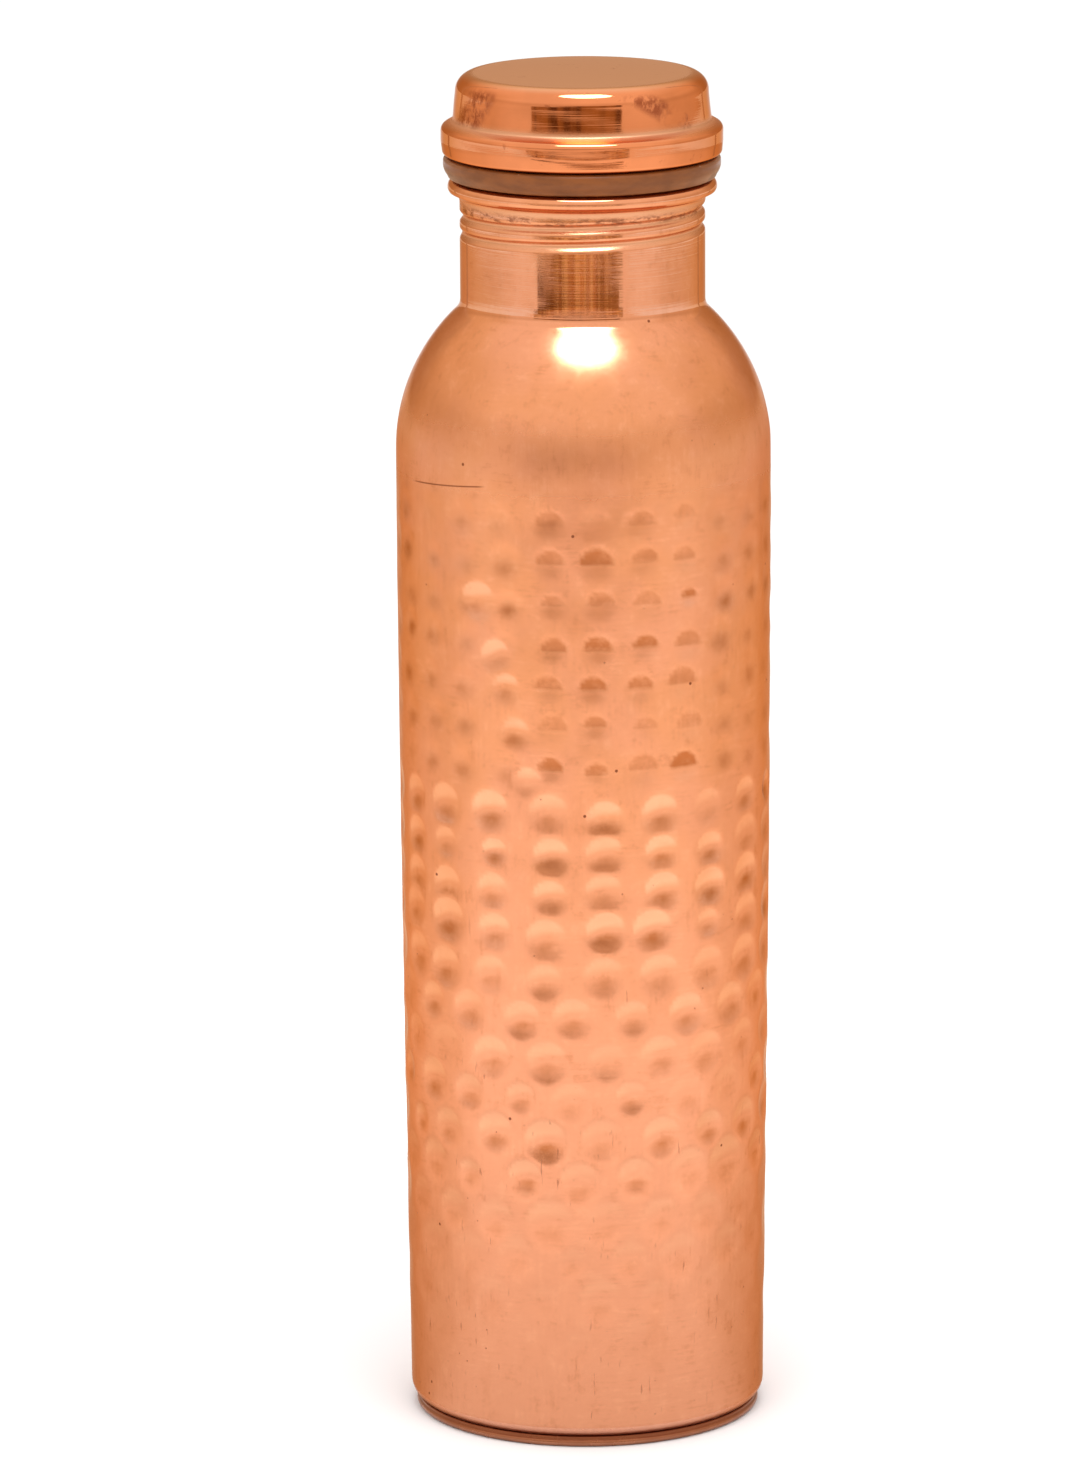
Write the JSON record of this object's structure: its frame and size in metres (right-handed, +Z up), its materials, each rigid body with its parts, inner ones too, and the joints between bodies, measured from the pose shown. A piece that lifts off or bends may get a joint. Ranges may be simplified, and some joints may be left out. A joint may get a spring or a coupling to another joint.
{
  "type": "water bottle",
  "caption": "Tall round hammered copper water bottle with a narrow threaded neck, a silicone sealing ring and a beaded screw cap.",
  "frame": {"origin": "centre of the foot, on the surface that the bottle stands on", "axes": "+Z up along the bottle's axis, towards the cap; X and Y are across the bottle"},
  "size_m": [0.073, 0.073, 0.266],
  "materials": {
    "hammered_copper": "hammered, polished and lacquered copper",
    "polished_copper": "spun and polished copper",
    "plain_copper": "plain drawn copper",
    "silicone": "translucent grey-brown silicone"
  },
  "bodies": {
    "bottle": {"body_shell": "hammered_copper", "base_plate": "plain_copper"},
    "seal": {"gasket": "silicone"},
    "cap": {"cap_shell": "polished_copper", "cap_plug": "plain_copper"}
  },
  "joints": [
    {"name": "cap_lift", "type": "slide", "parent": "bottle", "child": "seal", "axis": [0, 0, 1], "range_m": [0, 0.0199]},
    {"name": "cap_turn", "type": "hinge", "parent": "seal", "child": "cap", "pos_m": [0, 0, 0.245], "axis": [0, 0, 1], "range_deg": [0, 2160]}
  ],
  "couplings": [
    {"joint": "cap_lift", "follows": "cap_turn", "m_per_rad": 0.00052521}
  ]
}
